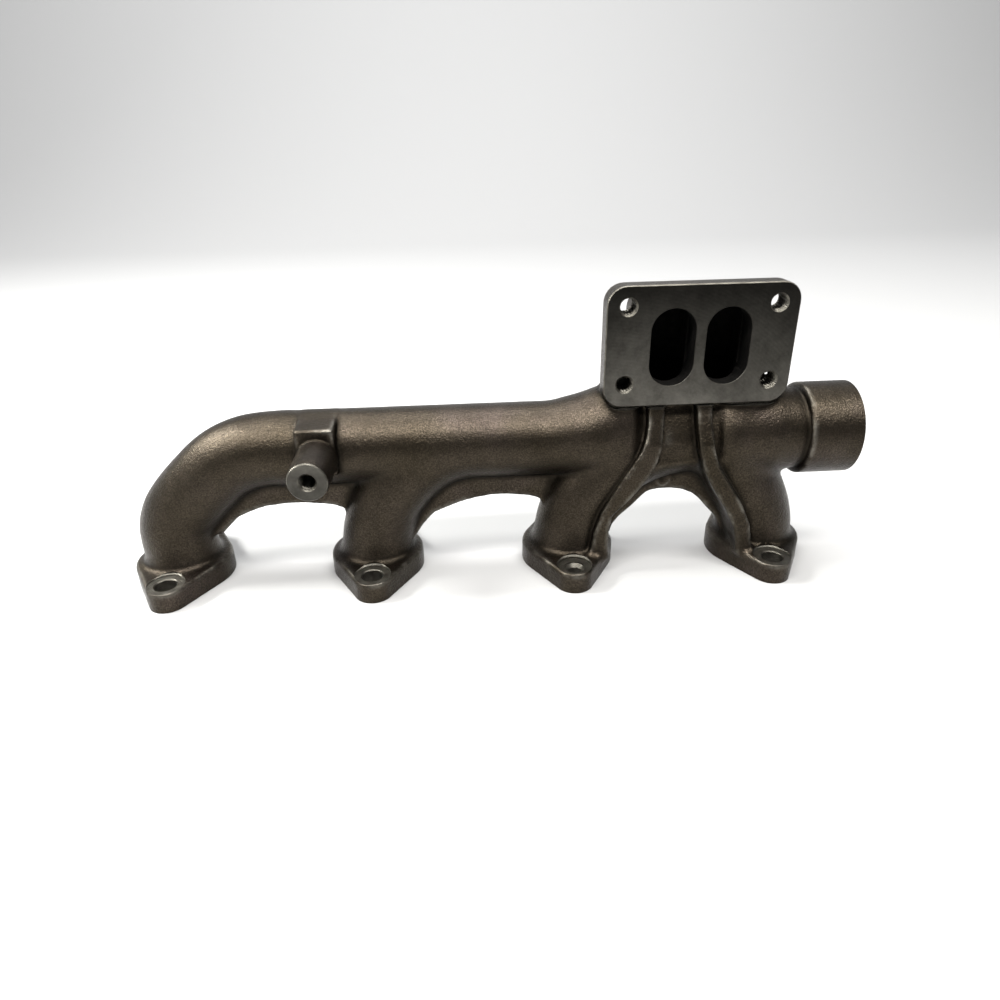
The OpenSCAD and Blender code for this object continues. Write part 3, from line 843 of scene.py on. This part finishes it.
def finish_mesh(ob):
    """Normals from the field's own slope on the cast skin, sharp edges round everything machined, and the vertex layers
    for edge wear with painted edge highlight and for painted crease shade.
    """
    me = ob.data
    nv, nf, nl = len(me.vertices), len(me.polygons), len(me.loops)
    co = np.empty(nv * 3, np.float32)
    me.vertices.foreach_get("co", co)
    co = co.reshape(-1, 3) / MM
    mi = np.empty(nf, np.int32)
    me.polygons.foreach_get("material_index", mi)
    tot = np.empty(nf, np.int32)
    me.polygons.foreach_get("loop_total", tot)
    lv = np.empty(nl, np.int32)
    me.loops.foreach_get("vertex_index", lv)
    le = np.empty(nl, np.int32)
    me.loops.foreach_get("edge_index", le)
    lf = np.repeat(np.arange(nf), tot)
    fn = np.empty(nf * 3, np.float32)
    me.polygons.foreach_get("normal", fn)
    fn = fn.reshape(-1, 3)
    ef = np.full((len(me.edges), 2), -1, np.int64)
    order = np.argsort(le, kind="stable")
    es, fs = le[order], lf[order]
    first = np.r_[True, es[1:] != es[:-1]]
    ef[es[first], 0] = fs[first]
    ef[es[~first], 1] = fs[~first]
    both = (ef >= 0).all(1)
    mA, mB = mi[ef[:, 0]], mi[ef[:, 1]]
    dot = (fn[ef[:, 0]] * fn[ef[:, 1]]).sum(1)
    skin = np.array([True, False, False, True, False])
    sharp = both & (((mA != mB) & ~(skin[mA] & skin[mB])) | (~skin[mA] & ~skin[mB] & (dot < 0.85)) | (dot < 0.3))
    at = me.attributes.get("sharp_edge") or me.attributes.new("sharp_edge", "BOOLEAN", "EDGE")
    at.data.foreach_set("value", sharp)
    me.polygons.foreach_set("use_smooth", np.ones(nf, bool))
    me.update()
    cn = np.empty(nl * 3, np.float32)
    me.corner_normals.foreach_get("vector", cn)
    cn = cn.reshape(-1, 3)
    g = sample(G, co)
    g /= np.maximum(np.linalg.norm(g, axis=1, keepdims=True), 1e-6)
    use = skin[mi][lf] & ((g[lv] * fn[lf]).sum(1) > 0.7)
    cn[use] = g[lv[use]]
    me.normals_split_custom_set(cn.tolist())
    lap = sample(LAP, co)
    # convex edges get the layer lightened as wear and as painted edge highlight; concave corners get the layer darkened
    # as painted shade
    for name, val in (("wear_and_edge_highlight", np.clip((lap - 0.13) / 0.30, 0, 1)), ("crease_shade", np.clip((-lap - 0.03) / 0.22, 0, 0.85))):
        a = me.attributes.get(name) or me.attributes.new(name, "FLOAT", "POINT")
        a.data.foreach_set("value", val.astype(np.float32))
    me.update()
    return nf, int((tot - 2).sum()), int((~both).sum())


for ob, nodes_ in made:
    print(ob.name, finish_mesh(ob))
    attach(ob, "root")
    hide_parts(*nodes_)

# ---------------------------------------------------------------- floor, light, camera
fl, nt, bs = material("pale_floor")
bs.inputs["Base Color"].default_value = (0.38, 0.38, 0.38, 1)
bs.inputs["Roughness"].default_value = 0.95
bs.inputs["Specular IOR Level"].default_value = 0.05
me = bpy.data.meshes.new("floor")
prof = [(-4.0, -0.0002), (1.6, -0.0002)] + [(1.6 + 1.4 * math.sin(t), 1.4 - 1.4 * math.cos(t) - 0.0002) for t in np.linspace(0.04, math.pi / 2, 28)] + [(3.0, 4.5)]
me.from_pydata([(sx * 18.0, a, b) for a, b in prof for sx in (-1, 1)], [], [(2 * i, 2 * i + 1, 2 * i + 3, 2 * i + 2) for i in range(len(prof) - 1)])
me.materials.append(fl)
me.polygons.foreach_set("use_smooth", np.ones(len(me.polygons), bool))
floor = bpy.data.objects.new("floor", me)
bpy.context.scene.collection.objects.link(floor)

w = bpy.data.worlds.new("studio")
bpy.context.scene.world = w
w.use_nodes = True
w.node_tree.nodes["Background"].inputs[0].default_value = (0.93, 0.96, 1.0, 1)
w.node_tree.nodes["Background"].inputs[1].default_value = 0.13


def area(name, at_, look, size, power, color=(1, 1, 1)):
    l = bpy.data.lights.new(name, "AREA")
    l.shape = "RECTANGLE"
    l.size, l.size_y = size
    l.energy = power
    l.color = color
    o = bpy.data.objects.new(name, l)
    o.location = at_
    o.rotation_euler = (Vector(look) - Vector(at_)).to_track_quat("-Z", "Y").to_euler()
    bpy.context.scene.collection.objects.link(o)


area("key_top", (0.20, -0.56, 1.22), (0.19, 0, 0.07), (2.0, 0.22), 50, (1.0, 0.985, 0.96))
area("key_left", (-0.85, 0.1, 0.95), (0.12, 0, 0.08), (0.45, 0.3), 38, (1.0, 1.0, 0.97))
area("fill_left", (-1.0, -0.6, 0.5), (0.19, 0, 0.07), (0.5, 0.6), 3, (1.0, 0.98, 0.95))
area("back_wash", (0.2, 1.0, 3.2), (0.2, 2.6, 0.6), (2.5, 1.0), 180)

cam = bpy.data.cameras.new("camera")
cam.sensor_width = 36.0
cam.lens = 25.82
cam.clip_start = 0.01
co_ = bpy.data.objects.new("camera", cam)
yaw, pitch, roll = (math.radians(a) for a in (2.67, 26.44, -1.30))
fwd = Vector((math.sin(yaw), math.cos(yaw), 0))
right = Vector((math.cos(yaw), -math.sin(yaw), 0))
up = Vector((0, 0, 1))
F = math.cos(pitch) * fwd - math.sin(pitch) * up
U2 = math.sin(pitch) * fwd + math.cos(pitch) * up
R = math.cos(roll) * right + math.sin(roll) * U2
U = -math.sin(roll) * right + math.cos(roll) * U2
co_.matrix_world = Matrix(((R.x, U.x, -F.x, 0.17938), (R.y, U.y, -F.y, -0.39740), (R.z, U.z, -F.z, 0.23896), (0, 0, 0, 1)))
bpy.context.scene.collection.objects.link(co_)
bpy.context.scene.camera = co_
bpy.context.scene.view_settings.view_transform = "Standard"
